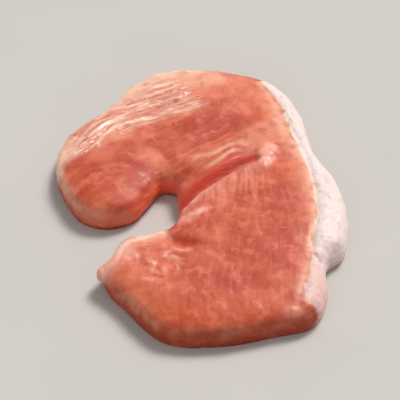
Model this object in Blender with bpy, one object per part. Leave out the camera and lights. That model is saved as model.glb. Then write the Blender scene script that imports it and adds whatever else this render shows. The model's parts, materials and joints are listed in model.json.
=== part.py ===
"""Raw turkey chop: one boneless slice cut across the thigh, lying on its cut face.

The slice is one solid. Two muscles meet at a cleft, and between them a gap runs in from the
thin side where the bone was taken out. A rim of fat lines the thick side, and a loose skin of
connective tissue wraps the back edge. Sizes are in millimetres until the mesh is made.
+X points to the fat rim, +Y to the back of the slice and +Z up from the face that it lies on.
"""

import bmesh
import bpy
import numpy as np
from mathutils import Vector, noise
from mathutils.geometry import delaunay_2d_cdt

MM = 0.001

# Plan outline, anticlockwise seen from above. A smooth closed curve runs through these points.
BACK_EDGE = (
    (29.6, 52.6), (21.0, 65.4), (8.0, 71.2), (-8.0, 73.0), (-20.5, 68.3), (-31.5, 52.0), (-44.0, 36.0),
)
THIN_LOBE_TIP = ((-46.8, 24.5), (-43.2, 7.5), (-33.5, -4.8))
BONE_GAP = ((-21.5, -3.2), (-15.6, 5.8), (-10.4, 12.8), (-6.8, 4.0), (-8.4, -11.4))
GAP_LIP = ((-14.5, -15.0), (-22.9, -18.2), (-26.8, -27.0))
FLAP_TIP = ((-31.0, -35.4), (-27.8, -39.0))
FRONT_EDGE = ((-23.2, -44.0), (-14.5, -56.2), (-8.0, -62.4), (8.0, -63.8), (26.0, -59.0))
FAT_END = ((37.0, -54.5), (40.8, -46.0), (41.2, -27.4))
FAT_STEP = ((45.6, -22.2), (46.8, -15.0))
FAT_EDGE = ((46.4, -1.0), (43.2, 12.5), (36.8, 25.5))
OUTLINE = (
    *BACK_EDGE, *THIN_LOBE_TIP, *BONE_GAP, *GAP_LIP, *FLAP_TIP, *FRONT_EDGE, *FAT_END, *FAT_STEP, *FAT_EDGE,
)

# Thickness and the rounding of the cut edges.
RIM_HEIGHT = 8.3  # height of the upper face just inside its rounded edge
CROWN = 2.3  # how much the middle of a muscle stands above that
CROWN_REACH = 5.0  # how far in from the edge the crown has most of its height
TOP_ROUNDING = 2.1  # where the upper face starts, in from the outline
BASE_ROUNDING = 3.0  # where the flat underside starts, in from the outline
# Side wall from the bottom up: how far each ring lies inside the outline, and its share of the rim's
# height.
WALL_RINGS = ((0.45, 0.14), (0.0, 0.38), (0.1, 0.64), (0.8, 0.87))
LOW_EDGE = (1.4, 0.4)  # the last rounding ring under the wall: its inset and its height
# The pointed flap beside the bone gap is thin, so the wall lies back under it.
FLAP_OVERHANG = 3.2
FLAP_HALF_WIDTH = 4.6
FLAP_SHARES = (0.3, 0.8)  # the wall comes out to the flap between these shares of the rim's height

# Cleft between the two muscles, from the bone gap towards the fat. It closes at a knot of fat.
CLEFT = ((-7.4, -2.6), (-3.0, 2.0), (2.8, 7.5), (8.0, 12.4), (13.5, 17.0), (18.2, 20.4))
CLEFT_DEPTH = 3.6
CLEFT_HALF_WIDTH = 2.5
CLEFT_CLOSING = 0.5  # share of its depth and width that it has lost where it ends
# The front muscle's border swells up along the cleft.
CLEFT_LIP_HEIGHT = 0.9
CLEFT_LIP_OFFSET = 4.2
CLEFT_LIP_HALF_WIDTH = 2.2
KNOT = (22.0, 22.0)
KNOT_HEIGHT = 0.8
KNOT_RADIUS = 3.4

# Groove where the lean meets the fat rim, from the back to the front.
FAT_BORDER = (
    (16.5, 64.0), (23.5, 50.5), (28.0, 38.0), (32.0, 26.0), (35.2, 13.0),
    (36.8, 2.0), (37.0, -12.0), (36.0, -24.0), (34.8, -34.0), (34.0, -44.0), (32.6, -53.5),
)
FAT_GROOVE_DEPTH = 0.55
FAT_GROOVE_HALF_WIDTH = 1.2
FAT_SWELL = 0.6  # how far the fat stands proud of the lean beside it

# A pale band of tissue runs inside the back edge. Its loose skin lies in folds from there to the edge.
TISSUE_BAND = ((-43.5, 19.0), (-35.5, 27.0), (-26.0, 38.5), (-13.0, 46.0), (2.0, 51.0))
TISSUE_BAND_HEIGHT = 0.6
TISSUE_BAND_HALF_WIDTH = 2.2
FOLD_HEIGHT = 0.75
FOLD_SPACING = 5.0  # across the band
FOLD_LENGTH = 13.0  # along the band

# Strings of tendon lie side by side above the cleft.
TENDON = ((-11.0, 12.0), (0.0, 19.5), (14.5, 29.0))
TENDON_COUNT = 2
TENDON_SPACING = 4.4
TENDON_HEIGHT = 0.55
TENDON_HALF_WIDTH = 1.4

# Knife nick in the lower muscle beside the bone gap.
NICK = ((-9.0, -19.8), (-4.5, -23.0), (0.5, -24.0))
NICK_DEPTH = 1.7
NICK_HALF_WIDTH = 1.8

# The muscle's own unevenness.
SWELL_HEIGHT = 0.45
SWELL_LENGTH = 17.0

# Mesh steps.
OUTLINE_STEP = 1.9
FACE_STEP = 1.9
BASE_STEP = 9.0
FEATURE_STEP = 2.0
FEATURE_LINES = (-3.0, -1.5, 0.0, 1.5, 3.0)  # lines of points beside a groove, by their distance from it
FEATURE_MARGIN = 1.3  # a feature line stops this far from the rounded edge
GRID_MARGIN = 1.1  # the free grid stops this far from it
CLEAR_OF_FEATURE = 1.3  # free grid points keep this far from a feature's own points
RING_TOLERANCE = 0.93  # a ring point nearer the outline than this share of its inset is dropped

COLOUR = (0.58, 0.16, 0.10, 1.0)
ROUGHNESS = 0.32


def clear_scene():
    """Removes every object of the start-up scene."""
    for thing in list(bpy.data.objects):
        bpy.data.objects.remove(thing, do_unlink=True)


def smooth_path(points, closed):
    """Points along Blender's own smooth curve through the given points, as an array of x and y."""
    curve = bpy.data.curves.new("guide", "CURVE")
    curve.dimensions = "2D"
    curve.fill_mode = "NONE"
    curve.resolution_u = 16
    spline = curve.splines.new("BEZIER")
    spline.use_cyclic_u = closed
    spline.bezier_points.add(len(points) - 1)
    for knot, (x, y) in zip(spline.bezier_points, points):
        knot.co = (x, y, 0.0)
        knot.handle_left_type = "AUTO"
        knot.handle_right_type = "AUTO"
    guide = bpy.data.objects.new("guide", curve)
    bpy.context.scene.collection.objects.link(guide)
    bpy.context.view_layer.update()
    mesh = guide.to_mesh()
    path = np.array([(v.co.x, v.co.y) for v in mesh.vertices])
    guide.to_mesh_clear()
    bpy.data.objects.remove(guide)
    bpy.data.curves.remove(curve)
    return path


def even_path(path, step, closed):
    """The same path with points about one step apart."""
    ends = np.vstack([path, path[:1]]) if closed else path
    along = np.concatenate([[0.0], np.cumsum(np.linalg.norm(np.diff(ends, axis=0), axis=1))])
    count = max(2, round(along[-1] / step))
    at = np.arange(count if closed else count + 1) * along[-1] / count
    return np.column_stack([np.interp(at, along, ends[:, k]) for k in (0, 1)])


def path_distance(points, path, closed=False):
    """Each point's distance to the path, the share of the path's length there, and its side (+1 is left)."""
    ends = np.vstack([path, path[:1]]) if closed else path
    start, run = ends[:-1], np.diff(ends, axis=0)
    lengths = np.linalg.norm(run, axis=1)
    share = np.einsum("pij,ij->pi", points[:, None, :] - start, run) / lengths**2
    share = np.clip(share, 0.0, 1.0)
    offset = points[:, None, :] - (start + share[..., None] * run)
    distance = np.linalg.norm(offset, axis=2)
    nearest = distance.argmin(axis=1)
    rows = np.arange(len(points))
    before = np.concatenate([[0.0], np.cumsum(lengths)])
    along = (before[nearest] + share[rows, nearest] * lengths[nearest]) / before[-1]
    gap, way = offset[rows, nearest], run[nearest]
    side = np.sign(way[:, 0] * gap[:, 1] - way[:, 1] * gap[:, 0])
    return distance[rows, nearest], along, side


def inside(points, outline):
    """Which points lie inside the closed outline."""
    a, b = outline, np.roll(outline, -1, axis=0)
    x, y = points[:, :1], points[:, 1:]
    straddles = (a[:, 1] > y) != (b[:, 1] > y)
    height = np.where(b[:, 1] == a[:, 1], 1.0, b[:, 1] - a[:, 1])
    crossing = a[:, 0] + (y - a[:, 1]) / height * (b[:, 0] - a[:, 0])
    return (straddles & (x < crossing)).sum(axis=1) % 2 == 1


def bump(distance, half_width):
    """1 on the line, falling smoothly to 0 about two half widths away."""
    return np.exp(-((distance / half_width) ** 2))


def ramp(value, low, high):
    """0 below low and 1 above high, with a smooth rise between."""
    t = np.clip((value - low) / (high - low), 0.0, 1.0)
    return t * t * (3.0 - 2.0 * t)


def waves(points, seed):
    """Soft random waves from about -1 to 1, one to each unit of length."""
    return np.array([noise.noise(Vector((x, y, seed))) for x, y in points]) * 1.6


class Paths:
    """The outline and the feature lines as smooth paths."""

    def __init__(self):
        self.outline = even_path(smooth_path(OUTLINE, True), OUTLINE_STEP, True)
        self.cleft = smooth_path(CLEFT, False)
        self.fat_border = smooth_path(FAT_BORDER, False)
        self.tissue_band = smooth_path(TISSUE_BAND, False)
        self.tendon = smooth_path(TENDON, False)
        self.nick = smooth_path(NICK, False)


def muscle_height(points, paths):
    """The lean's own crown, from the rounded edge to the middle, with a gentle unevenness."""
    depth, _, _ = path_distance(points, paths.outline, closed=True)
    crown = CROWN * (1.0 - np.exp(-np.maximum(depth - TOP_ROUNDING, 0.0) / CROWN_REACH))
    uneven = SWELL_HEIGHT * waves(points / SWELL_LENGTH, 4.0) * ramp(depth, 1.0, 6.0)
    return RIM_HEIGHT + crown + uneven


def fat_rim_height(points, paths):
    """The fat's swell, and the groove between it and the lean."""
    distance, along, side = path_distance(points, paths.fat_border)
    swell = FAT_SWELL * ramp(distance, 0.5, 2.0) * (side > 0) * (along > 0.0) * (along < 1.0)
    groove = FAT_GROOVE_DEPTH * bump(distance, FAT_GROOVE_HALF_WIDTH) * ramp(along, 0.0, 0.12)
    return swell - groove


def cleft_height(points, paths):
    """The cleft, the lip of the front muscle along it, and the knot of fat that ends it."""
    distance, along, side = path_distance(points, paths.cleft)
    left = 1.0 - CLEFT_CLOSING * along
    groove = CLEFT_DEPTH * left * bump(distance, CLEFT_HALF_WIDTH * left)
    beside = (side < 0) * (along < 1.0)
    lip = CLEFT_LIP_HEIGHT * bump(distance - CLEFT_LIP_OFFSET, CLEFT_LIP_HALF_WIDTH) * beside
    knot = KNOT_HEIGHT * bump(np.linalg.norm(points - KNOT, axis=1), KNOT_RADIUS)
    return lip + knot - groove


def tissue_height(points, paths):
    """The pale band behind the back muscle, and the folds of loose skin outside it."""
    distance, along, side = path_distance(points, paths.tissue_band)
    band = TISSUE_BAND_HEIGHT * bump(distance, TISSUE_BAND_HALF_WIDTH)
    length = np.linalg.norm(np.diff(paths.tissue_band, axis=0), axis=1).sum()
    folds = waves(np.column_stack([along * length / FOLD_LENGTH, distance / FOLD_SPACING]), 9.0)
    loose = (side > 0) * ramp(distance, 1.0, 3.5) * ramp(1.0 - along, 0.0, 0.15)
    return band + FOLD_HEIGHT * folds * loose


def tendon_height(points, paths):
    """The strings of tendon, each a low ridge that fades out at both ends."""
    distance, along, side = path_distance(points, paths.tendon)
    ends = ramp(along, 0.0, 0.2) * ramp(1.0 - along, 0.0, 0.2)
    height = np.zeros(len(points))
    for k in range(TENDON_COUNT):
        offset = (k - (TENDON_COUNT - 1) / 2.0) * TENDON_SPACING
        height += TENDON_HEIGHT * bump(distance * side - offset, TENDON_HALF_WIDTH) * ends
    return height


def nick_height(points, paths):
    """The knife nick, deepest at the bone gap."""
    distance, along, _ = path_distance(points, paths.nick)
    return -NICK_DEPTH * bump(distance, NICK_HALF_WIDTH) * (1.0 - 0.5 * along)


def top_height(points, paths):
    """Height of the upper face over the given plan points."""
    reliefs = (muscle_height, fat_rim_height, cleft_height, tissue_height, tendon_height, nick_height)
    return sum(relief(points, paths) for relief in reliefs)


def inward_ring(outline, inset):
    """The outline moved in by inset along its own normals."""
    way = np.roll(outline, -1, axis=0) - np.roll(outline, 1, axis=0)
    way /= np.linalg.norm(way, axis=1)[:, None]
    return outline + inset * np.column_stack([-way[:, 1], way[:, 0]])


def wall_ring(outline, inset, share):
    """A ring of the side wall. Below the flap it lies further in."""
    way = inward_ring(outline, 1.0) - outline
    near = bump(np.linalg.norm(outline - FLAP_TIP[0], axis=1), FLAP_HALF_WIDTH)
    back = FLAP_OVERHANG * near * (1.0 - ramp(share, *FLAP_SHARES))
    return inward_ring(outline, inset) + way * back[:, None]


def kept_ring(outline, inset):
    """The points of an inward ring that lie that far from the outline, so that the ring never folds."""
    ring = inward_ring(outline, inset)
    distance, _, _ = path_distance(ring, outline, closed=True)
    return ring[inside(ring, outline) & (distance > inset * RING_TOLERANCE)]


def grid(outline, step, margin, clear_of):
    """Points of a triangular grid inside the outline by the margin, and clear of the given points."""
    low, high = outline.min(axis=0), outline.max(axis=0)
    rows = np.arange(low[1], high[1], step * 3.0**0.5 / 2.0)
    points = [
        (x, y) for k, y in enumerate(rows) for x in np.arange(low[0] + step * (k % 2) / 2.0, high[0], step)
    ]
    points = np.array(points)
    points = points[inside(points, outline)]
    distance, _, _ = path_distance(points, outline, closed=True)
    points = points[distance > margin]
    for taken in clear_of:
        gaps = np.linalg.norm(points[:, None, :] - taken[None, :, :], axis=2)
        points = points[gaps.min(axis=1) > CLEAR_OF_FEATURE]
    return points


def feature_lines(paths, outline, margin):
    """Lines of points along the cleft and the fat groove. Each is an array of points that follow on."""
    lines = []
    for path in (paths.cleft, paths.fat_border):
        centre = even_path(path, FEATURE_STEP, False)
        way = np.gradient(centre, axis=0)
        way /= np.linalg.norm(way, axis=1)[:, None]
        normal = np.column_stack([-way[:, 1], way[:, 0]])
        for offset in FEATURE_LINES:
            line = centre + offset * normal
            distance, _, _ = path_distance(line, outline, closed=True)
            kept = inside(line, outline) & (distance > margin)
            breaks = np.flatnonzero(~kept)
            lines += [run[kept[start : start + len(run)]] for start, run in split_at(line, breaks)]
    return [line for line in lines if len(line) > 1]


def split_at(line, breaks):
    """The line cut into runs at the given places, each with the number of its first point."""
    starts = np.concatenate([[0], breaks])
    return zip(starts, np.split(line, breaks))


def cap(ring, lines, free):
    """Points, then triangles, that fill a closed ring. They keep to the lines and use the free points."""
    points = np.vstack([ring, *lines, *free])
    edges = [(k, (k + 1) % len(ring)) for k in range(len(ring))]
    first = len(ring)
    for line in lines:
        edges += [(k, k + 1) for k in range(first, first + len(line) - 1)]
        first += len(line)
    found = delaunay_2d_cdt([Vector(p) for p in points], edges, [], 1, 1e-7)
    source = [names[0] for names in found[3]]
    triangles = [[source[v] for v in face] for face in found[2]]
    return points, triangles


def build_chop():
    """The whole slice as one closed mesh: a flat underside, a rounded wall and the upper face."""
    paths = Paths()
    outline = paths.outline
    count = len(outline)
    rim = top_height(inward_ring(outline, TOP_ROUNDING), paths)
    low_ring = wall_ring(outline, *WALL_RINGS[0])
    high_ring = wall_ring(outline, *WALL_RINGS[-1])

    edge_ring = kept_ring(outline, TOP_ROUNDING)
    features = feature_lines(paths, outline, TOP_ROUNDING + FEATURE_MARGIN)
    face_grid = grid(outline, FACE_STEP, TOP_ROUNDING + GRID_MARGIN, [edge_ring, *features])
    top_points, top_faces = cap(high_ring, features, [edge_ring, face_grid])

    foot = inward_ring(low_ring, -WALL_RINGS[0][0])
    low_edge = kept_ring(foot, LOW_EDGE[0])
    flat_edge = kept_ring(foot, BASE_ROUNDING)
    base_grid = grid(foot, BASE_STEP, BASE_ROUNDING + 2.0, [flat_edge])
    base_points, base_faces = cap(low_ring, [], [low_edge, flat_edge, base_grid])

    mesh = bmesh.new()
    rings = []
    for inset, share in WALL_RINGS:
        flat = wall_ring(outline, inset, share)
        rings.append([mesh.verts.new((x, y, share * z)) for (x, y), z in zip(flat, rim)])
    for lower, upper in zip(rings, rings[1:]):
        for k in range(count):
            after = (k + 1) % count
            mesh.faces.new((lower[k], lower[after], upper[after], upper[k]))

    top_heights = top_height(top_points[count:], paths)
    top = rings[-1] + [mesh.verts.new((x, y, z)) for (x, y), z in zip(top_points[count:], top_heights)]
    for face in top_faces:
        mesh.faces.new([top[k] for k in face])

    base_heights = np.zeros(len(base_points) - count)
    base_heights[: len(low_edge)] = LOW_EDGE[1]
    base = rings[0] + [mesh.verts.new((x, y, z)) for (x, y), z in zip(base_points[count:], base_heights)]
    for face in base_faces:
        mesh.faces.new([base[k] for k in reversed(face)])

    bmesh.ops.recalc_face_normals(mesh, faces=mesh.faces)
    return mesh


def centre_on_footprint(mesh):
    """Moves the mesh so that the origin is the middle of its footprint's box, and scales it to metres."""
    corners = np.array([v.co for v in mesh.verts])
    middle = (corners.min(axis=0) + corners.max(axis=0)) / 2.0
    middle[2] = corners[:, 2].min()
    for vertex in mesh.verts:
        vertex.co = (vertex.co - Vector(middle)) * MM


def meat_material():
    """Wet raw muscle, in one plain colour."""
    material = bpy.data.materials.new("raw_muscle")
    material.use_nodes = True
    shader = material.node_tree.nodes["Principled BSDF"]
    shader.inputs["Base Color"].default_value = COLOUR
    shader.inputs["Roughness"].default_value = ROUGHNESS
    shader.inputs["Metallic"].default_value = 0.0
    return material


def main():
    clear_scene()
    shape = build_chop()
    centre_on_footprint(shape)
    mesh = bpy.data.meshes.new("turkey_chop")
    shape.to_mesh(mesh)
    shape.free()
    mesh.shade_smooth()
    mesh.materials.append(meat_material())
    chop = bpy.data.objects.new("turkey_chop", mesh)
    bpy.context.scene.collection.objects.link(chop)


main()
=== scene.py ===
"""Dresses the raw turkey chop: wet muscle, fat rim and loose tissue, on a pale floor under soft light."""

import json
import math
from collections import namedtuple

import bpy
import numpy as np
from mathutils import Matrix, Vector, kdtree, noise

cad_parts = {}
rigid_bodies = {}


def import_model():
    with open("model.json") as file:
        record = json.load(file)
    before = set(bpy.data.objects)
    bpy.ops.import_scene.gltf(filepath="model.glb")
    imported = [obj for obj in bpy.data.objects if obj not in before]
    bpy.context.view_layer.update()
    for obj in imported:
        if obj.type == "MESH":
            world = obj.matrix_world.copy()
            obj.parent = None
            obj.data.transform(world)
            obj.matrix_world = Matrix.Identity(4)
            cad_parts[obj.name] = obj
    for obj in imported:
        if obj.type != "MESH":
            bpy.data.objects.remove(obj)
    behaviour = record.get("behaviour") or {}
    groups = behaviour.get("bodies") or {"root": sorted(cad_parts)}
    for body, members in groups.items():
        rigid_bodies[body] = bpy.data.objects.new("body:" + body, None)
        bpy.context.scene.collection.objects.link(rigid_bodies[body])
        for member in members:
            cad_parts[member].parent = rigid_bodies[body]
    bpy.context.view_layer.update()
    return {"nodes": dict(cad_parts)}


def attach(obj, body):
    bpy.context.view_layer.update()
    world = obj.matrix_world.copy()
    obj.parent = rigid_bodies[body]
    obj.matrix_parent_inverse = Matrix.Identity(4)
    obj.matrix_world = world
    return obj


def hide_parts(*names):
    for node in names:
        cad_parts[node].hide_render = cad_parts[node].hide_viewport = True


bl_info = {
    "name": "Raw Turkey Chop",
    "version": (1, 0, 0),
    "blender": (4, 5, 0),
    "location": "View3D > Sidebar > Chop",
    "description": "Models the surface of a raw boneless turkey slice and sets a small studio round it",
    "category": "Object",
}

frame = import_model()
NODE = "turkey_chop"
BODY = "root"
MM = 0.001

# Plan positions are in millimetres, seen from above, from the point that the slice's drawing starts from.
PLAN_ORIGIN = (-0.111, -4.5)  # where that point lies in the part's own frame

# The cleft between the two muscles, from the bone gap to its knots, and the front muscle's lip beside it,
# which carries a pink painted highlight.
CLEFT = ((-7.4, -2.6), (-3.0, 2.0), (2.8, 7.5), (8.0, 12.4), (13.5, 17.0), (18.2, 20.4))
CLEFT_LIP = ((-7.5, -11.0), (-4.6, -4.6), (0.6, 1.8), (6.2, 7.0), (12.4, 12.4), (18.6, 17.0))
KNOTS = ((21.0, 18.0), (20.6, 22.0), (22.2, 24.4))
# Where the lean meets the fat rim, from the back to the front, and the crease across the rim.
FAT_BORDER = (
    (16.5, 64.0), (22.6, 50.5), (26.6, 38.0), (30.8, 26.0), (34.5, 13.0),
    (36.4, 2.0), (37.1, -12.0), (36.6, -24.0), (35.4, -34.0), (34.8, -44.0), (33.6, -53.5),
)
FAT_CREASE = ((36.6, -28.0), (39.0, -30.6), (42.6, -33.0))
# The pale band that parts the back muscle from the loose tissue outside it.
TISSUE_BAND = (
    (-44.5, 15.5), (-38.5, 21.0), (-33.0, 27.0), (-27.0, 35.0), (-17.0, 40.4), (-7.0, 45.0), (3.0, 50.5),
)
# Pale streaks of tendon above the cleft, with their half widths.
TENDONS = (
    (((-6.0, 16.4), (1.6, 21.0), (7.4, 24.2), (15.4, 28.6)), 1.3),
    (((-2.0, 11.0), (2.6, 15.0), (7.6, 19.2), (14.0, 23.6)), 0.9),
)
# The nick beside the bone gap, the front muscle's lip along the gap, and the gap's wall.
NICK = ((-9.0, -21.2), (-6.0, -22.4), (-1.5, -24.2), (2.5, -25.2))
GAP_LIP = ((-8.0, -15.0), (-14.5, -18.6), (-21.0, -22.4), (-24.4, -29.2), (-28.6, -36.8))
GAP_WALL = ((-19.0, -1.0), (-15.6, 5.8), (-10.4, 12.8), (-6.8, 4.0), (-8.4, -11.4), (-14.5, -15.0))
# The rim of the slice from the bone gap round the thin lobe to the back.
OUTER_EDGE = (
    (-27.0, -7.0), (-36.0, -3.0), (-42.6, 8.0), (-45.4, 21.0), (-43.0, 34.0),
    (-31.0, 51.0), (-19.8, 66.8), (-8.0, 71.6), (6.0, 71.0),
)
# Ends of small vessels, where fat and lean meet.
VESSELS = ((24.5, 26.6), (29.3, 25.9), (28.4, 33.0), (26.6, 39.2), (25.0, 46.5))
# Single beads of clear tissue that catch the light, tinted pale as a painted highlight.
BEADS = (
    (-8.5, -31.2), (-5.2, -32.9), (-12.6, -34.6), (-18.2, -30.9), (0.5, -8.2), (31.5, -55.7), (-24.9, 51.7),
)
# Short folds of membrane behind the front tip, each with its half width: crests tinted pale as painted
# highlights, and furrows tinted dark as painted shade.
LIT_FOLDS = (
    (((-8.3, -29.3), (-8.4, -30.6), (-8.8, -31.9)), 1.1),
    (((-6.3, -32.9), (-4.2, -32.8)), 1.0),
    (((-7.0, -27.0), (-4.2, -27.9), (-1.8, -27.6)), 0.9),
    (((-14.4, -32.4), (-13.4, -33.9), (-12.0, -34.5)), 1.1),
    (((-9.8, -37.0), (-9.6, -38.0), (-8.8, -39.6)), 1.0),
    (((-14.8, -42.1), (-13.5, -42.8), (-12.7, -43.0)), 1.0),
    (((-18.5, -29.6), (-18.2, -31.0)), 1.0),
    (((-20.9, -31.6), (-20.6, -32.6)), 1.0),
    (((-13.0, -37.6), (-12.2, -38.6)), 0.8),
    (((-5.2, -36.0), (-4.6, -37.4)), 0.7),
    (((-15.8, -26.2), (-14.2, -26.0)), 0.9),
)
# Furrows of the folds, tinted dark as painted shade.
SHADED_FOLDS = (
    (((-6.3, -30.2), (-4.0, -30.5), (-2.2, -31.4)), 1.0),
    (((-16.8, -30.4), (-16.2, -33.0), (-15.2, -35.2)), 1.1),
    (((-12.6, -28.4), (-10.2, -28.6)), 1.2),
    (((0.4, -34.2), (0.1, -36.4)), 0.9),
    (((-12.8, -39.9), (-11.0, -41.2), (-9.4, -41.7)), 0.7),
    (((-11.2, -35.8), (-11.0, -38.0)), 0.6),
    (((-6.8, -34.9), (-5.4, -36.8)), 0.7),
)
FRONT_FAN = (4.0, 170.0)  # the front muscle's fibres run towards this far point
# One of the back muscle's fibres, which the others run beside.
BACK_FIBRES = (
    (-46.0, -6.0), (-32.0, 4.0), (-16.0, 10.0), (0.0, 19.5), (14.5, 29.0), (24.0, 42.0), (28.0, 60.0),
)
BAR_PITCH = 2.1  # from one bar of the front muscle's cut fibres to the next
VESSEL_TURN = 15.0  # degrees that the vessels and the knots lean
UNDERSIDE_MARGIN = 2.5  # the underside's fine mesh ends this far from its edge

# Patches that differ from the rest: strength, middle, radii, and then, where they need them, the turn in
# degrees and the softness of the border.
PATCHES = {
    "deep_red_and_shade": (
        (0.95, (3.0, 36.5), (14.0, 6.5), 6.0),
        (0.5, (-27.5, 14.5), (4.5, 3.5), 20.0),
        (0.7, (-30.0, 6.0), (6.0, 4.0)),
        (0.45, (-20.5, 0.0), (5.0, 4.0)),
        # Painted shade on the lobe's shoulder by the bone gap.
        (0.8, (-18.0, 13.0), (3.5, 5.0), 30.0),
        (0.7, (-21.5, 37.0), (2.5, 3.0)),
        (0.75, (27.5, -26.0), (4.0, 9.0)),
        (0.35, (9.0, -33.0), (16.0, 8.0), 5.0),
        (0.3, (3.0, -49.0), (9.0, 5.0)),
        (0.4, (16.0, -57.0), (16.0, 5.0), 4.0),
        # Painted shadow beside the fat rim's front end.
        (0.5, (36.8, -57.0), (5.0, 3.5), 0.0, 0.8),
        (0.45, (-3.0, -22.8), (6.0, 2.4), -10.0, 0.7),
        (0.5, (-30.0, 12.0), (7.0, 6.0)),
        # Painted shade on the lobe's shoulder by the bone gap.
        (0.9, (-18.0, 9.0), (4.5, 5.5)),
    ),
    "warm": (
        (1.0, (18.5, 47.0), (5.0, 9.0), 15.0),
        (0.6, (-36.0, 3.0), (10.0, 9.0), 15.0),
        (0.9, (8.0, -59.0), (34.0, 7.5), 2.0),
        (0.7, (-19.0, -47.0), (5.0, 14.0), 33.0),
        (0.7, (26.0, 14.0), (6.0, 7.0)),
        (0.6, (-19.0, 3.0), (5.0, 7.0)),
    ),
    "rosy": (
        (1.0, (-16.5, -32.0), (12.0, 14.0), -20.0),
        (1.0, (4.0, 60.0), (15.0, 9.5)),
        (0.8, (7.0, 3.0), (13.0, 6.0), 40.0),
        (0.6, (-29.0, 27.0), (4.0, 9.0), -35.0),
        (0.5, (-9.0, 41.5), (5.0, 3.0), 20.0),
        (0.3, (-25.0, 1.5), (6.0, 3.0), 10.0),
        (0.85, (-16.9, 21.0), (3.5, 4.5), 20.0),
        (0.6, (-12.0, 14.0), (3.0, 3.0)),
        (0.7, (10.0, 46.5), (5.0, 4.0)),
        (0.4, (25.0, -44.0), (4.0, 6.0)),
        (0.5, (31.0, -57.0), (4.0, 3.0)),
        (0.6, (-14.0, -47.0), (9.0, 9.0)),
        (0.4, (12.3, 18.2), (2.6, 1.3), 35.0),
    ),
    "peach": (
        (0.9, (19.5, 31.0), (7.0, 8.5), -20.0),
        (0.8, (-3.0, 62.0), (9.0, 5.5)),
        (0.6, (5.0, 5.5), (7.0, 2.6), 45.0),
    ),
    "pink": (
        (0.95, (0.2, -7.8), (3.6, 1.6), 25.0, 0.6),
        (0.6, (-3.2, -11.0), (2.2, 3.6), -20.0, 0.7),
        (0.35, (32.0, -56.5), (3.5, 2.6), 0.0, 0.8),
    ),
    "cream": (
        (0.5, (25.3, 37.0), (1.8, 6.0), 14.0, 0.8),
        (0.35, (-2.0, 63.5), (9.0, 5.0)),
    ),
    # Muscle whose streaks show most, beside the cleft.
    "striae": (
        (1.0, (8.0, -1.0), (15.0, 10.0), 30.0),
        (1.0, (2.0, 22.0), (14.0, 8.0), 32.0),
    ),
    "bars": ((1.0, (14.0, 2.5), (9.0, 5.0), 38.0, 0.8),),
    "band_end": ((0.6, (-26.0, 33.5), (3.5, 4.5), -40.0),),
    # Walls of the lobe and the tip that get less painted shade than the rest, and walls of the lobe's front
    # and round the bone gap lightened with painted light.
    "less_shade_lobe": ((0.9, (-24.0, 8.0), (32.0, 34.0)),),
    "less_shade_tip": ((0.3, (-26.0, -48.0), (14.0, 16.0)),),
    "lit_lobe_wall": ((1.0, (-28.0, -7.0), (12.0, 8.0), 10.0),),
    "lit_gap_wall": ((1.0, (-8.0, 6.5), (4.5, 4.5)),),
    # A pale streak that runs over the front edge.
    "front_film": ((0.6, (10.5, -65.5), (3.4, 4.0), -20.0, 0.9),),
    "front_cream": ((0.35, (10.5, -66.0), (2.0, 3.5), -20.0, 0.9),),
    # Where the lean behind the tip is wettest, and where beads stand on it.
    "wet": ((0.5, (-13.0, -33.0), (10.0, 10.0)),),
    "beaded": ((0.5, (-12.5, -33.0), (10.0, 9.0)),),
}


def linear(code):
    """A colour from its six-digit screen code, as linear red, green and blue."""
    levels = [int(code[k : k + 2], 16) / 255.0 for k in (0, 2, 4)]
    return tuple(v / 12.92 if v <= 0.04045 else ((v + 0.055) / 1.055) ** 2.4 for v in levels)


def colour(code, name, description):
    """A colour setting, with its default as a six-digit screen code."""
    return bpy.props.FloatVectorProperty(
        name=name, description=description, subtype="COLOR", size=3, min=0.0, max=1.0, default=linear(code)
    )


def length(millimetres, name, description):
    """A length setting, with its default in millimetres."""
    return bpy.props.FloatProperty(
        name=name, description=description, unit="LENGTH", subtype="DISTANCE", min=0.0, precision=5,
        default=millimetres * MM,
    )


class ChopSizes(bpy.types.PropertyGroup):
    """Sizes of the slice's surface relief."""

    voxel: length(0.41, "Mesh step", "Edge length of the surface mesh")
    bundle_width: length(2.3, "Bundle width", "Width of the muscle's fibre bundles")
    bundle_depth: length(0.07, "Bundle depth", "Height of the muscle's fibre bundles")
    fibre_depth: length(0.035, "Fibre depth", "Height of the single fibres")
    fold_depth: length(0.45, "Fold depth", "Height of the loose tissue's folds")
    bead_depth: length(0.34, "Bead height", "Height of the wet beads in the loose and the rosy tissue")
    lobule_depth: length(0.2, "Lobule depth", "Height of the fat rim's lobules")
    wrinkle_depth: length(0.2, "Wrinkle height", "Height of the short folds behind the front tip")
    dimple_depth: length(0.24, "Dimple depth", "Depth of the soft dimples all over the lean")
    edge_droop: length(0.8, "Edge droop", "How far the upper edge of the cut sags")
    cleft_depth: length(0.1, "Cleft depth", "How much deeper the cleft between the muscles is cut")
    nick_depth: length(0.6, "Nick depth", "Depth of the nick beside the bone gap")
    knot_height: length(0.15, "Knot height", "Height of the knots at the end of the cleft")
    crease_depth: length(0.9, "Crease depth", "Depth of the crease across the fat rim")
    bar_height: length(0.04, "Bar height", "Height of the bars under the front muscle's lip")
    layer_depth: length(0.16, "Layer depth", "Height of the layers in the cut walls")
    vessel_radius: length(0.6, "Vessel radius", "Radius of the cut blood vessels")
    vessel_depth: length(0.1, "Vessel depth", "Depth of the cut blood vessels")


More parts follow.
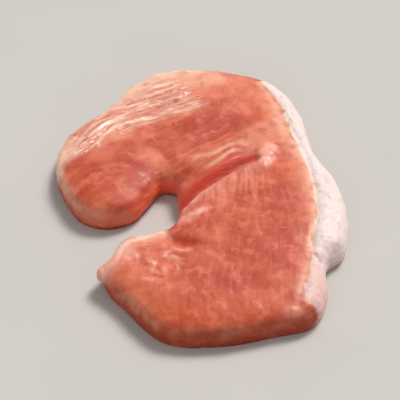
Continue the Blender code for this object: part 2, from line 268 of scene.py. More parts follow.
class ChopColours(bpy.types.PropertyGroup):
    """Colours of the raw meat, before the light."""

    lean: colour("c25a41", "Lean", "Main colour of the muscle")
    lean_light: colour("d97c5e", "Light fibres", "Lighter fibre bundles in the muscle")
    lean_dark: colour("ae432f", "Dark fibres", "Darker fibre bundles in the muscle")
    warm: colour("cc5a30", "Warm lean", "Orange-tinted muscle towards the cut edges")
    rosy: colour("df7e63", "Rosy lean", "Pale pink muscle beside the bone gap and at the back")
    # Dark red muscle, also used for painted shade in a few patches.
    deep_red_and_shade: colour("ad3524", "Deep lean", "Dark red muscle")
    # Rosy also paints light on the walls of the lobe's front and of the bone gap.
    seam: colour("c53c2b", "Seam", "Blood-red floor of the cleft")
    tissue: colour("d18670", "Tissue", "Loose connective tissue")
    # The crest colour also tints the beads as a painted highlight.
    tissue_light: colour("f5cbb8", "Tissue crest", "Crests of the tissue's folds")
    cream: colour("f1c3a7", "Cream edge", "Cream membrane along the edges")
    # A dull pink band round the upper edge, strongest on walls that face left.
    film: colour("ce8464", "Thin membrane", "Dull pink membrane round the upper edge")
    # The knot's pink also paints highlights: along the front muscle's lip at the cleft, and on the crests
    # of the short folds.
    pink: colour("f4ae9d", "Knot", "Pale pink knot of gristle and the lip beside it")
    peach: colour("dc8a70", "Peach", "Pale lean beside the fat rim")
    dull: colour("ad583c", "Dull lean", "Brownish ends of the fibres under the front lip")
    # Painted shade: a dark line along the creases of the cleft and the nick.
    crease_shade: colour("7d2a1e", "Blood", "Line of blood along the cleft")
    vessel: colour("9c5a47", "Vessel", "Brownish ends of small vessels")
    lip: colour("f2c3ae", "Lip", "Pale lip of the front muscle beside the bone gap")
    fat: colour("dfd0ce", "Fat", "Middle of the fat rim")
    fat_edge: colour("ebcdb8", "Fat edge", "Warm edges of the fat rim")
    fat_pink: colour("d6aba5", "Pink fat", "Front end of the fat rim")
    # Painted shade: the side walls are painted darker and browner than the lean.
    wall: colour("98391f", "Cut wall", "Side walls of the slice")
    # Painted light: the bone gap's wall is red and painted lighter than the lean, for light that falls
    # there.
    gap: colour("e8684e", "Bone gap", "Bloody wall of the gap where the bone was")


class StageSettings(bpy.types.PropertyGroup):
    """Floor, lights and camera."""

    floor_size: bpy.props.FloatProperty(
        name="Floor size", description="Side of the square floor", unit="LENGTH", subtype="DISTANCE",
        default=12.0,
    )
    floor_colour: colour("bebbb7", "Floor", "Colour of the floor")
    key_strength: bpy.props.FloatProperty(name="Key", description="Strength of the main light", default=2.7)
    key_spread: bpy.props.FloatProperty(
        name="Key spread", description="Angle that the main light fills", subtype="ANGLE",
        default=math.radians(26.0),
    )
    glint_strength: bpy.props.FloatProperty(
        name="Glint", description="Strength of the small light inside the main one", default=0.45
    )
    glint_spread: bpy.props.FloatProperty(
        name="Glint spread", description="Angle that the small light fills", subtype="ANGLE",
        default=math.radians(7.0),
    )
    fill_strength: bpy.props.FloatProperty(
        name="Fill", description="Strength of the front light", default=0.5
    )
    sky: bpy.props.FloatProperty(name="Sky", description="Light from above all round", default=0.36)
    horizon: bpy.props.FloatProperty(name="Horizon", description="Light from the pale walls", default=0.75)
    lens: bpy.props.FloatProperty(name="Lens", description="Focal length in millimetres", default=338.0)


# ---------------------------------------------------------------- paths and masks in the plan


def smooth_path(points, steps=14):
    """A smooth curve through the points, as an array of plan positions."""
    knots = np.array(points, float)
    knots = np.vstack([2 * knots[0] - knots[1], knots, 2 * knots[-1] - knots[-2]])
    t = np.linspace(0.0, 1.0, steps, endpoint=False)[:, None]
    runs = []
    for a, b, c, d in zip(knots, knots[1:], knots[2:], knots[3:]):
        square, cube = 2 * a - 5 * b + 4 * c - d, 3 * b - a - 3 * c + d
        runs.append(0.5 * (2 * b + (c - a) * t + square * t**2 + cube * t**3))
    return np.vstack([*runs, knots[-2:-1]])


Along = namedtuple("Along", "off run left")


def along_path(plan, points):
    """For each plan position: distance off the path, left of it positive, length run and length left."""
    path = smooth_path(points)
    start, run = path[:-1], np.diff(path, axis=0)
    lengths = np.linalg.norm(run, axis=1)
    before = np.concatenate([[0.0], np.cumsum(lengths)])
    distance, along = np.empty(len(plan)), np.empty(len(plan))
    for first in range(0, len(plan), 20000):
        part = slice(first, first + 20000)
        gap = plan[part, None, :] - start
        share = np.clip((gap * run).sum(axis=2) / lengths**2, 0.0, 1.0)
        gap -= share[..., None] * run
        far = np.hypot(gap[..., 0], gap[..., 1])
        k = far.argmin(axis=1)
        rows = np.arange(len(k))
        side = np.sign(run[k, 0] * gap[rows, k, 1] - run[k, 1] * gap[rows, k, 0])
        distance[part] = far[rows, k] * np.where(side == 0, 1, side)
        along[part] = before[k] + share[rows, k] * lengths[k]
    return Along(distance, along, before[-1] - along)


def bump(value, half_width):
    """1 where the value is 0, falling away on both sides."""
    return np.exp(-((value / half_width) ** 2))


def ramp(value, low, high):
    """0 up to the low value, 1 from the high one on, and a smooth rise between them."""
    t = np.clip((value - low) / (high - low), 0.0, 1.0)
    return t * t * (3.0 - 2.0 * t)


def waves(x, y, z=0.0, seed=0.0):
    """Soft random waves from about -1 to 1, one to each unit of length of the given coordinates."""
    rows = np.column_stack(np.broadcast_arrays(x, y, z + seed))
    return np.array([noise.noise(Vector(row)) for row in rows]) * 1.6


def cells(across, along, seed=0.0):
    """0 on the borders of random cells one unit wide, up to 1 in their middles."""
    found = [noise.voronoi(Vector((a, b, seed)))[0] for a, b in zip(across, along)]
    return np.minimum(np.array([far[1] - far[0] for far in found]) * 2.2, 1.0)


def patch(plan, centre, radii, turn=0.0, edge=0.45):
    """1 inside a turned ellipse and 0 outside it, with a soft border."""
    dx, dy = plan[:, 0] - centre[0], plan[:, 1] - centre[1]
    c, s = math.cos(math.radians(turn)), math.sin(math.radians(turn))
    far = np.hypot((dx * c + dy * s) / radii[0], (dy * c - dx * s) / radii[1])
    return 1.0 - ramp(far, 1.0 - edge, 1.0 + edge)


def patches(plan, name):
    """The strongest of the named patches at each place."""
    return np.maximum.reduce([strength * patch(plan, *shape) for strength, *shape in PATCHES[name]])


def edge_depth(places, normals, wanted):
    """Distance in the plan from each wanted place to the nearest steep wall."""
    steep = np.flatnonzero(np.abs(normals[:, 2]) < 0.3)
    tree = kdtree.KDTree(len(steep))
    for k in steep:
        tree.insert((places[k, 0], places[k, 1], 0.0), int(k))
    tree.balance()
    return np.array([tree.find((x, y, 0.0))[2] for x, y in wanted[:, :2]])


def read(items, name):
    """A vector property of many mesh elements, as an array with one row each."""
    flat = np.empty(len(items) * 3)
    items.foreach_get(name, flat)
    return flat.reshape(-1, 3)


class Survey:
    """What each vertex of a mesh is near: place in the plan, facing, distance to the edge and the paths."""

    def __init__(self, mesh):
        self.co = read(mesh.vertices, "co") / MM
        self.normal = read(mesh.vertices, "normal")
        self.plan = self.co[:, :2] - np.array(PLAN_ORIGIN)
        self.up = ramp(self.normal[:, 2], 0.25, 0.8)
        self.down = ramp(-self.normal[:, 2], 0.25, 0.8)
        self.side = 1.0 - np.maximum(self.up, self.down)
        self.depth = edge_depth(self.co, self.normal, self.co)
        # Borders wander by a millimetre or so, as they do in real muscle.
        x, y = self.plan.T
        wander = np.column_stack([waves(x / 7.0, y / 7.0, seed=3.0), waves(x / 7.0, y / 7.0, seed=5.0)])
        fray = np.column_stack([waves(x / 1.9, y / 1.9, seed=7.0), waves(x / 1.9, y / 1.9, seed=8.0)])
        self.rough_plan = self.plan + 0.9 * wander + 0.3 * fray
        self.fat, self.band, self.cleft, self.nick = (
            along_path(self.rough_plan, path) for path in (FAT_BORDER, TISSUE_BAND, CLEFT, NICK)
        )
        # Near the back, a peach-coloured seam parts the lean from the fat.
        self.fat_from = 1.4 * (1.0 - ramp(self.fat.run, 22.0, 44.0))
        self.fat_ends = ramp(self.fat.run, 0.0, 2.0) * ramp(self.fat.left, 0.8, 3.0)


def streak(plan, path, half_width):
    """1 along the middle of a path, fading to its sides and its ends."""
    near = along_path(plan, path)
    return bump(near.off, half_width) * ramp(near.run, 0.0, 11.0) * ramp(near.left, 0.0, 4.0)


def short_folds(plan, folds):
    """1 along the middle of each short path, fading all round it."""
    return np.maximum.reduce([bump(along_path(plan, path).off, half_width) for path, half_width in folds])


def fat_masks(survey):
    """The fat rim, how far across it each place lies, and its pinker front end."""
    inside = survey.fat.off - survey.fat_from
    within = np.maximum(inside, 0.1)
    across = within / (within + np.maximum(survey.depth, 0.05))
    return {
        "fat": ramp(inside, -0.5, 0.4) * survey.fat_ends,
        "across_fat": across * (1.0 - 0.3 * survey.side),
        "fat_pink": ramp(survey.fat.run, 84.0, 112.0),
    }


def edge_membranes(survey, fat):
    """The cream rim from the left corner to the back, and a dull pink band round the rest of the upper
    edge, strongest on walls that face left.
    """
    plan = survey.rough_plan
    edge = along_path(plan, OUTER_EDGE)
    depth = np.maximum(survey.depth - 0.3 - 0.5 * (plan - survey.plan).sum(axis=1), 0.0)
    at_back = ramp(edge.run, 64.0, 78.0)
    rim_width = 1.2 + 3.2 * bump(edge.run - 40.0, 8.0) + 7.0 * at_back
    on_rim = (np.abs(edge.off) < 9.0) * ramp(edge.run, 0.0, 20.0) * ramp(edge.left, 0.0, 12.0)
    strength = (0.3 + 0.7 * ramp(edge.run, 20.0, 34.0)) * (1.0 - 0.6 * bump(edge.run - 58.0, 7.0))
    upper = ramp(survey.normal[:, 2], -0.1, 0.45)
    rim = bump(depth, rim_width) * on_rim * strength * np.maximum(upper, 0.45 * at_back)

    leftward = 0.4 + 0.6 * ramp(-survey.normal[:, 0], -0.2, 0.5)
    film = bump(depth, 1.1) * upper * leftward * (1.0 - fat) * (1.0 - 0.6 * bump(plan[:, 0], 8.0))
    front_film = patches(plan, "front_film") * ramp(survey.co[:, 2], 1.0, 7.0)
    return rim, np.maximum(film, front_film)


def wall_masks(survey):
    """The bone gap's red wall, painted lighter as painted light, and painted shade that darkens the walls
    elsewhere.
    """
    plan, z = survey.rough_plan, survey.co[:, 2]
    # The bone gap's wall, which takes the lighter gap colour as painted light.
    in_gap = 1.0 - ramp(np.abs(along_path(survey.plan, GAP_WALL).off), 2.0, 3.2)
    # Walls of the lobe and the tip get less of the painted shade.
    pale = patches(plan, "less_shade_lobe") + patches(plan, "less_shade_tip")
    steep = 1.0 - np.maximum(ramp(survey.normal[:, 2], 0.1, 0.95), survey.down)
    return {"gap": in_gap * survey.side * ramp(9.5 - z, 0.0, 2.0), "wall": steep * (1.0 - pale)}


def tissue_masks(survey):
    """The loose tissue along the back edge, and the pale band that borders it."""
    band = survey.band
    tissue = ramp(band.off, -1.2, 1.0) * ramp(band.left, 0.0, 9.0) * ramp(band.run, 0.0, 9.0)
    border = bump(band.off + 0.2, 1.9) * ramp(band.run, 12.0, 26.0) * ramp(band.left, -1.0, 9.0)
    return {
        "tissue": tissue * np.maximum(survey.up, 0.5 * survey.side),
        "band": np.maximum(border, patches(survey.rough_plan, "band_end")) * survey.up,
    }


def cleft_masks(survey):
    """The red floors of the cleft and the nick, a painted shade line along their creases, and the back
    muscle's side.
    """
    cleft, nick = survey.cleft, survey.nick
    cleft_floor = bump(cleft.off - 1.8, 3.0 - 0.05 * cleft.run) * ramp(cleft.left, 0.0, 1.0)
    nick_floor = bump(nick.off - 0.4, 2.2) * ramp(nick.run, 0.0, 3.0) * ramp(nick.left, 0.0, 5.0)
    cleft_shade = bump(cleft.off - 0.2, 0.7) * ramp(cleft.run, 3.0, 9.0) * ramp(cleft.left, 2.0, 6.0)
    nick_shade = bump(nick.off + 0.6, 0.8) * ramp(nick.run, 2.0, 6.0)
    return {
        "seam": np.maximum(cleft_floor, 0.6 * nick_floor) * survey.up,
        "crease_shade": 0.3 * np.maximum(cleft_shade, nick_shade) * survey.up,
        "back": ramp(cleft.off, -0.4, 0.4),
    }


def lean_masks(survey):
    """Patches of darker, warmer and paler lean; a few of the darker ones are painted shade, and lighter
    ones on the walls are painted light.
    """
    plan, up, side, fat = survey.rough_plan, survey.up, survey.side, survey.fat
    masks = {name: patches(plan, name) * up for name in ("deep_red_and_shade", "warm", "rosy", "peach")}
    by_fat = bump(fat.off + 2.6, 2.8) * ramp(fat.run, 4.0, 14.0) * (1.0 - 0.8 * ramp(fat.run, 66.0, 84.0))
    masks["peach"] = np.maximum(masks["peach"], 0.85 * by_fat * up)
    masks["rosy"] = np.maximum.reduce([
        masks["rosy"],
        # Painted light: a lighter rosy colour on the walls of the lobe's front and of the bone gap.
        patches(plan, "lit_lobe_wall") * side,
        patches(plan, "lit_gap_wall") * np.maximum(up, 0.9 * side),
    ])
    masks["striae"] = patches(plan, "striae")
    return masks


def bar_masks(survey, front_across):
    """Light and dark bars, where the front muscle's fibres end just under its lip."""
    x, y = survey.plan.T
    bars = np.cos(2.0 * math.pi * (front_across + 0.5 * waves(x / 8.0, y / 8.0, seed=51.0)) / BAR_PITCH)
    broken = ramp(waves(x / 2.5, y / 5.0, seed=52.0), -0.6, 0.4)
    barred = patches(survey.rough_plan, "bars") * broken * survey.up
    return {"light_bar": np.maximum(bars, 0.0) * barred, "dark_bar": np.maximum(-bars, 0.0) * barred}


def pale_masks(survey, rim):
    """The cream rim and tendons, the pink knots with a pink painted highlight along the cleft's lip, and
    the lip of the front muscle beside the bone gap.
    """
    plan, up, z, fat_from = survey.rough_plan, survey.up, survey.co[:, 2], survey.fat_from
    by_fat = bump(survey.fat.off - 0.5 * fat_from + 0.4, 1.5 + 0.3 * fat_from) * survey.fat_ends
    cleft_lip = along_path(plan, CLEFT_LIP)
    cleft_lip_fade = ramp(cleft_lip.run, 0.0, 3.0) * (1.0 - 0.7 * ramp(cleft_lip.run, 16.0, 24.0))
    gap_lip = along_path(plan, GAP_LIP)
    crest = ramp(2.4 - np.abs(gap_lip.off), -1.0, 1.0)
    shoulder = ramp(6.5 - np.abs(gap_lip.off + 1.5), -2.0, 3.0)
    gap_lip_fade = ramp(gap_lip.run, 0.0, 4.0) * (1.0 - 0.5 * ramp(gap_lip.run, 18.0, 26.0))
    return {
        "cream": np.maximum.reduce([
            1.1 * rim,
            0.5 * by_fat * ramp(z, 5.0, 7.0),
            patches(plan, "cream") * up,
            *(0.5 * streak(plan, path, half_width) * up for path, half_width in TENDONS),
            patches(plan, "front_cream") * ramp(z, 1.0, 7.0),
        ]),
        "pink": np.maximum.reduce([
            patches(plan, "pink"),
            *(0.9 * patch(plan, place, (2.0, 3.0), VESSEL_TURN, 0.7) for place in KNOTS),
            # Painted highlight along the front muscle's lip at the cleft.
            0.65 * bump(cleft_lip.off, 1.7) * cleft_lip_fade,
        ]) * up,
        "lip": np.maximum(crest, 0.5 * shoulder) * gap_lip_fade * ramp(z, 4.5, 6.5),
    }


def small_masks(survey):
    """Ends of vessels, single beads, and the short folds behind the front tip."""
    plan, up = survey.rough_plan, survey.up
    x, y = survey.plan.T
    vessels = [0.6 * patch(plan, place, (0.75, 1.35), VESSEL_TURN, 0.8) for place in VESSELS]
    beads = [bump(np.hypot(*(plan - place).T), 0.8) for place in BEADS]
    ragged = 0.7 + 0.5 * waves(x / 1.3, y / 1.3, seed=53.0)
    lit_fold = np.clip(short_folds(plan, LIT_FOLDS) * ragged, 0.0, 1.0) * up
    return {
        "vessel": np.maximum.reduce(vessels) * up,
        "bead": np.maximum.reduce(beads) * up,
        "lit_fold": lit_fold,
        "shaded_fold": short_folds(plan, SHADED_FOLDS) * (1.0 - lit_fold) * up,
    }


def zones(survey, front_across):
    """Masks from 0 to 1 of the slice's tissues, by name."""
    masks = fat_masks(survey)
    rim, masks["film"] = edge_membranes(survey, masks["fat"])
    masks |= wall_masks(survey) | tissue_masks(survey) | cleft_masks(survey) | lean_masks(survey)
    masks |= bar_masks(survey, front_across) | pale_masks(survey, rim) | small_masks(survey)
    masks["wet"] = np.maximum.reduce([
        masks["bead"],
        masks["lit_fold"],
        0.45 * masks["tissue"],
        0.6 * masks["pink"],
        0.25 * masks["seam"],
        0.3 * masks["cream"],
        0.6 * masks["lip"],
        patches(survey.rough_plan, "wet"),
    ]) * np.maximum(survey.up, 0.5)
    return masks


def grain(survey):
    """Coordinates across and along the fibres, in millimetres: in the front muscle, then elsewhere."""
    x, y = survey.plan.T
    z = survey.co[:, 2]
    away = np.array(FRONT_FAN) - survey.plan
    sway = 1.5 * waves(x / 30.0, y / 30.0, seed=21.0)
    fan = np.arctan2(-away[:, 0], away[:, 1]) * FRONT_FAN[1]
    front = np.column_stack([fan + sway, np.hypot(*away.T), z])

    muscle = along_path(survey.plan, BACK_FIBRES)
    across, along = muscle.off + sway, muscle.run
    # The tissue and the fat follow their own borders, each far along the grain from the muscle.
    band = along_path(survey.plan, TISSUE_BAND)
    fat = along_path(survey.plan, FAT_BORDER)
    for chosen, border, start in (
        ((band.off > -1.5) & (band.left > 0.1), band, 300.0),
        (fat.off > 0.0, fat, 600.0),
    ):
        across = np.where(chosen, border.off, across)
        along = np.where(chosen, border.run + start, along)
    return front, np.column_stack([across, along, z])


def lean_height(survey, masks, front, back, sizes):
    """Bundles of fibres, each a long low dome with a crease round it, single fibres and soft dimples."""
    x, y = survey.plan.T
    lean = survey.up * (1.0 - masks["fat"]) * (1.0 - masks["tissue"])
    width = sizes.bundle_width / MM
    across, along = np.where(masks["back"] > 0.5, back.T, front.T)[:2]
    wobble = 0.5 * waves(x / 3.0, y / 3.0, seed=30.0)
    domes = cells((across + wobble) / width, along / (4.5 * width), seed=31.0)
    fibres = waves(across / 0.9, along / 7.0, seed=32.0)
    dimples = np.maximum(waves(x / 6.5, y / 8.5, seed=33.0), -0.4)
    dimples += 0.3 * np.maximum(waves(x / 2.4, y / 2.4, seed=34.0), 0.0)
    height = sizes.bundle_depth * domes + sizes.fibre_depth * fibres - sizes.dimple_depth * dimples
    return height / MM * lean


def tissue_height(survey, masks, back, sizes):
    """Long sharp crests of loose tissue with short wrinkles between them, wet beads and short folds."""
    x, y = survey.plan.T
    across, along = back[:, 0], back[:, 1]
    crest = 1.0 - 2.2 * np.abs(waves(across / 2.6, along / 13.0, seed=35.0))
    wrinkle = 1.0 - 2.0 * np.abs(waves(across / 1.3, along / 5.0, seed=36.0))
    beads = 1.6 * np.maximum(waves(x / 1.9, y / 1.5, seed=40.0) - 0.25, 0.0)
    beaded = np.maximum(0.4 * masks["tissue"], patches(survey.plan, "beaded"))
    height = sizes.fold_depth * (0.75 * crest + 0.35 * wrinkle) * masks["tissue"]
    height += sizes.bead_depth * (beads * beaded + masks["bead"]) * survey.up
    height += sizes.wrinkle_depth * (masks["lit_fold"] - 0.7 * masks["shaded_fold"])
    return height / MM


def fat_height(survey, masks, back, sizes):
    """Lobules and puckers of the fat rim, and the crease across it."""
    across, along = back[:, 0], back[:, 1]
    lobules = waves(across / 3.2, along / 5.0, seed=37.0)
    grains = 0.5 * waves(across / 1.4, along / 1.8, seed=41.0)
    puckers = 0.4 * waves(across / 3.0, along / 1.1, seed=42.0)
    crease = along_path(survey.plan, FAT_CREASE)
    within = (crease.run > 0.05) * (crease.left > 0.05)
    height = sizes.lobule_depth * (lobules + grains + puckers) * masks["fat"]
    height -= sizes.crease_depth * bump(crease.off, 0.8) * within
    return height / MM * survey.up


def cut_height(survey, sizes):
    """The cleft, the nick and the vessels, cut a little deeper, and the knots that stand up beside them."""
    plan, cleft, nick = survey.rough_plan, survey.cleft, survey.nick
    radius = sizes.vessel_radius / MM
    vessels = sum(patch(plan, place, (radius, 2.0 * radius), VESSEL_TURN) for place in VESSELS)
    knots = sum(bump(np.hypot(*(plan - place).T), 1.8) for place in KNOTS)
    height = sizes.knot_height * knots - sizes.vessel_depth * vessels
    height -= sizes.cleft_depth * bump(cleft.off, 1.0) * ramp(cleft.left, 0.0, 5.0)
    height -= sizes.nick_depth * bump(nick.off, 1.3) * ramp(nick.run, 0.0, 3.0) * ramp(nick.left, 0.0, 4.0)
    return height / MM * survey.up


def wall_height(survey, sizes):
    """The walls show the layers that the knife went through."""
    x, y = survey.plan.T
    z = survey.co[:, 2]
    layers = waves(x / 5.0, y / 5.0, z / 1.6, seed=38.0) + 0.5 * waves(x / 2.0, y / 2.0, z / 0.8, seed=39.0)
    return sizes.layer_depth / MM * layers * survey.side


def relief(survey, masks, front, back, sizes):
    """How far each vertex moves out along its normal, in millimetres."""
    height = lean_height(survey, masks, front, back, sizes)
    height += tissue_height(survey, masks, back, sizes)
    height += fat_height(survey, masks, back, sizes)
    height += cut_height(survey, sizes)
    height += wall_height(survey, sizes)
    return height + sizes.bar_height / MM * (masks["light_bar"] - masks["dark_bar"])


# ---------------------------------------------------------------- modelling helpers


def select_only(piece):
    """Makes the piece the only one that operators act on."""
    if bpy.context.mode != "OBJECT":
        bpy.ops.object.mode_set(mode="OBJECT")
    bpy.ops.object.select_all(action="DESELECT")
    piece.select_set(True)
    bpy.context.view_layer.objects.active = piece


def apply_modifier(piece, kind, **settings):
    """Adds a modifier with these settings and applies it."""
    select_only(piece)
    bpy.ops.object.modifier_add(type=kind)
    modifier = piece.modifiers[-1]
    for name, value in settings.items():
        setattr(modifier, name, value)
    bpy.ops.object.modifier_apply(modifier=modifier.name)


def copy_of_node(node, name):
    """A shown, merged copy of a CAD node that is free to be changed."""
    select_only(frame["nodes"][node])
    bpy.ops.object.duplicate()
    piece = bpy.context.view_layer.objects.active
    bpy.ops.object.parent_clear(type="CLEAR_KEEP_TRANSFORM")
    for key in list(piece.keys()):
        del piece[key]
    piece.name = piece.data.name = name
    bpy.ops.object.mode_set(mode="EDIT")
    bpy.ops.mesh.select_all(action="SELECT")
    bpy.ops.mesh.remove_doubles(threshold=0.01 * MM)
    bpy.ops.object.mode_set(mode="OBJECT")
    return piece


def merge_underside(piece):
    """Makes one face of the flat underside, all but a margin along its edge."""
    faces = piece.data.polygons
    centres, vertices = read(faces, "center") / MM, read(piece.data.vertices, "co") / MM
    depth = edge_depth(vertices, read(piece.data.vertices, "normal"), centres)
    chosen = (centres[:, 2] < 1.0) & (depth > UNDERSIDE_MARGIN)
    select_only(piece)
    bpy.ops.object.mode_set(mode="EDIT")
    bpy.ops.mesh.select_mode(type="FACE")
    bpy.ops.mesh.select_all(action="DESELECT")
    bpy.ops.object.mode_set(mode="OBJECT")
    faces.foreach_set("select", chosen)
    bpy.ops.object.mode_set(mode="EDIT")
    bpy.ops.mesh.dissolve_faces()
    bpy.ops.object.mode_set(mode="OBJECT")


def store(mesh, name, kind, values):
    """Writes one value a vertex to a named attribute."""
    attribute = mesh.attributes.new(name, kind, "POINT")
    field = "vector" if kind == "FLOAT_VECTOR" else "value"
    attribute.data.foreach_set(field, np.ascontiguousarray(values, np.float32).ravel())


def hand_over(piece, material, replaces=None):
    """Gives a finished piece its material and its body."""
    piece.data.materials.clear()
    piece.data.materials.append(material)
    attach(piece, BODY)
    if replaces:
        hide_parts(replaces)


# ---------------------------------------------------------------- materials


class Recipe:
    """Builds a node tree step by step. Each step returns its first output unless another is asked for."""

    def __init__(self, tree):
        self.tree = tree

    def add(self, kind, inputs=None, out=0, **settings):
        node = self.tree.nodes.new(kind)
        for name, value in settings.items():
            setattr(node, name, value)
        for name, value in (inputs or {}).items():
            socket = node.inputs[name]
            if isinstance(value, bpy.types.NodeSocket):
                self.tree.links.new(value, socket)
            else:
                socket.default_value = value
        return node.outputs[out]

    def attribute(self, name, out="Fac"):
        return self.add("ShaderNodeAttribute", attribute_name=name, out=out)

    def stretch(self, vector, scale):
        return self.add("ShaderNodeMapping", {"Vector": vector, "Scale": scale})

    def noise(self, vector, scale, detail=2.0, roughness=0.5, distortion=0.0):
        inputs = {"Vector": vector, "Scale": scale, "Detail": detail, "Roughness": roughness}
        return self.add("ShaderNodeTexNoise", inputs | {"Distortion": distortion})

    def between(self, value, low, high, start=0.0, end=1.0):
        inputs = {"Value": value, "From Min": low, "From Max": high, "To Min": start, "To Max": end}
        return self.add("ShaderNodeMapRange", inputs, interpolation_type="SMOOTHSTEP")

    def maths(self, operation, a, b):
        return self.add("ShaderNodeMath", {0: a, 1: b}, operation=operation)

    def blend(self, share, a, b):
        """Value a turning into value b."""
        return self.add("ShaderNodeMix", {0: share, 2: a, 3: b})

    def group(self, group, inputs):
        """A node that holds the group."""
        node = self.tree.nodes.new("ShaderNodeGroup")
        node.node_tree = group
        for name, socket in inputs.items():
            self.tree.links.new(socket, node.inputs[name])
        return node

    def mix(self, share, a, b):
        """Colour a turning into colour b."""
        node = self.tree.nodes.new("ShaderNodeMix")
        node.data_type = "RGBA"
        for socket, value in zip((node.inputs[0], node.inputs[6], node.inputs[7]), (share, a, b)):
            if isinstance(value, bpy.types.NodeSocket):
                self.tree.links.new(value, socket)
            else:
                socket.default_value = value if isinstance(value, float) else (*value, 1.0)
        return node.outputs[2]

    def cover(self, skin, mask, strength, tint):
        """A colour covered by a tint, at this strength, where the piece's own mask says so."""
        return self.mix(self.maths("MULTIPLY", self.attribute(mask), strength), skin, tint)

    def fleck(self, skin, pattern, start, full, strength, tint):
        """A colour flecked with a tint, where the pattern goes from its start to its full value."""
        return self.mix(self.between(pattern, start, full, 0.0, strength), skin, tint)


def new_group(name, inputs, outputs):
    """An empty shader group with these float or vector inputs and float outputs, and its two end nodes."""
    group = bpy.data.node_groups.new(name, "ShaderNodeTree")
    for label, kind in inputs.items():
        group.interface.new_socket(label, in_out="INPUT", socket_type=kind)
    for label in outputs:
        group.interface.new_socket(label, in_out="OUTPUT", socket_type="NodeSocketFloat")
    return group, group.nodes.new("NodeGroupInput"), group.nodes.new("NodeGroupOutput")


def muscle_fibre_group():
    """Patterns that follow the fibres: broad streaks, fine threads and thin pale veins of fat."""
    outputs = ("Streaks", "Threads", "Veins")
    group, given, result = new_group("Muscle fibres", {"Grain": "NodeSocketVector"}, outputs)
    r = Recipe(group)
    at = given.outputs["Grain"]
    streaks = r.noise(r.stretch(at, (0.62, 0.1, 0.3)), 1.0, 3.0, 0.55, 0.35)
    threads = r.noise(r.stretch(at, (2.4, 0.35, 0.5)), 1.0, 3.0, 0.6, 0.4)
    lines = r.noise(r.stretch(at, (0.5, 0.055, 0.2)), 1.0, 2.0, 0.55, 0.15)
    off_line = r.maths("ABSOLUTE", r.maths("SUBTRACT", lines, 0.5), 0.0)
    veins = r.between(off_line, 0.012, 0.0)
    for socket, label in zip((streaks, threads, veins), outputs):
        group.links.new(socket, result.inputs[label])
    return group


def wet_film_group():
    """Roughness and fine height of a wet surface. Wetness 1 is a film of juice, 0 is only damp."""
    inputs = {"Threads": "NodeSocketFloat", "Wetness": "NodeSocketFloat"}
    group, given, result = new_group("Wet film", inputs, ("Roughness", "Height", "Film"))
    r = Recipe(group)
    place = r.add("ShaderNodeTexCoord", out="Object")
    pools = r.between(r.noise(place, 170.0, 3.0, 0.6), 0.46, 0.6)
    film = r.maths("MULTIPLY", pools, r.between(given.outputs["Wetness"], 0.0, 1.0, 0.14, 1.0))
    roughness = r.between(film, 0.0, 1.0, 0.5, 0.2)
    pores = r.noise(place, 1500.0, 2.0, 0.6)
    raised = r.maths("MULTIPLY", given.outputs["Threads"], 0.5)
    height = r.maths("ADD", raised, r.maths("MULTIPLY", pores, 0.4))
    for socket, label in ((roughness, "Roughness"), (height, "Height"), (film, "Film")):
        group.links.new(socket, result.inputs[label])
    return group


def meat_patterns(r, back_at):
    """The lean's patterns, by name: three that follow the fibres, and three kinds of mottle."""
    fibres = muscle_fibre_group()
    front = r.group(fibres, {"Grain": r.attribute("front_grain", "Vector")})
    back = r.group(fibres, {"Grain": back_at})
    place = r.add("ShaderNodeTexCoord", out="Object")
    patterns = {
        name.lower(): r.blend(r.attribute("back"), front.outputs[name], back.outputs[name])
        for name in ("Streaks", "Threads", "Veins")
    }
    patterns["clouds"] = r.noise(place, 95.0, 3.0, 0.55)
    patterns["blotches"] = r.noise(place, 215.0, 2.5, 0.55, 0.3)
    patterns["grit"] = r.noise(place, 800.0, 2.0, 0.6)
    return patterns


